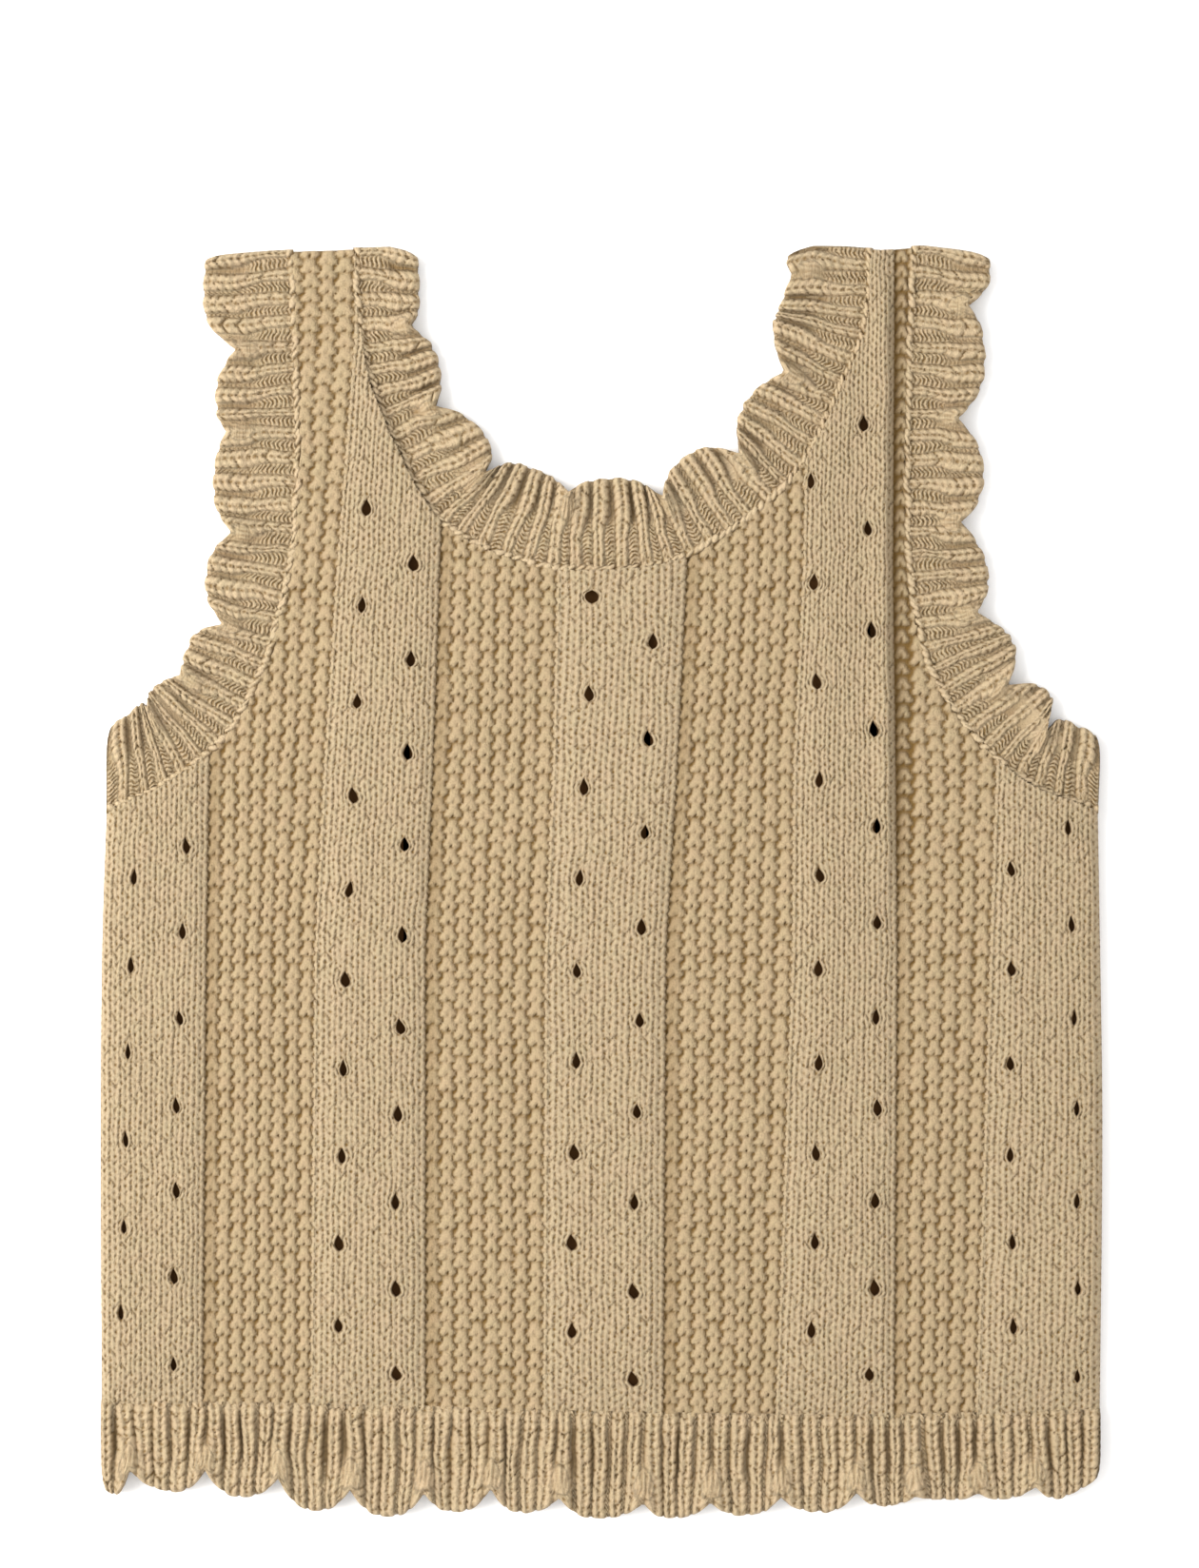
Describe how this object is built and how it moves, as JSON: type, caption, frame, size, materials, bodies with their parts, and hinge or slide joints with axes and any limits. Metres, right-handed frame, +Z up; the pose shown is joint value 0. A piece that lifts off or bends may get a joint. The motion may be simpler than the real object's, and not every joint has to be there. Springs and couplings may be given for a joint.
{
  "type": "knit top laid flat",
  "caption": "Sleeveless knit top with ruffled ribbed neck and armholes and a scalloped rib hem, laid flat, front up.",
  "frame": {"origin": "middle of the garment's outline, on the surface that it lies on", "axes": "+X to the viewer's right across the front, +Y from the hem to the shoulders, +Z up out of the surface, through the front"},
  "size_m": [0.3027, 0.384, 0.008],
  "materials": {
    "panel_knit": "matte cotton yarn, stockinette and moss stitch, beige",
    "rib_knit": "matte cotton yarn, single rib, beige"
  },
  "bodies": {
    "root": {"front_panel": "panel_knit", "back_panel": "panel_knit", "neck_frill_front": "rib_knit", "neck_frill_back": "rib_knit", "armhole_frill_left_front": "rib_knit", "armhole_frill_left_back": "rib_knit", "armhole_frill_right_front": "rib_knit", "armhole_frill_right_back": "rib_knit", "hem_rib_front": "rib_knit", "hem_rib_back": "rib_knit"}
  },
  "joints": []
}
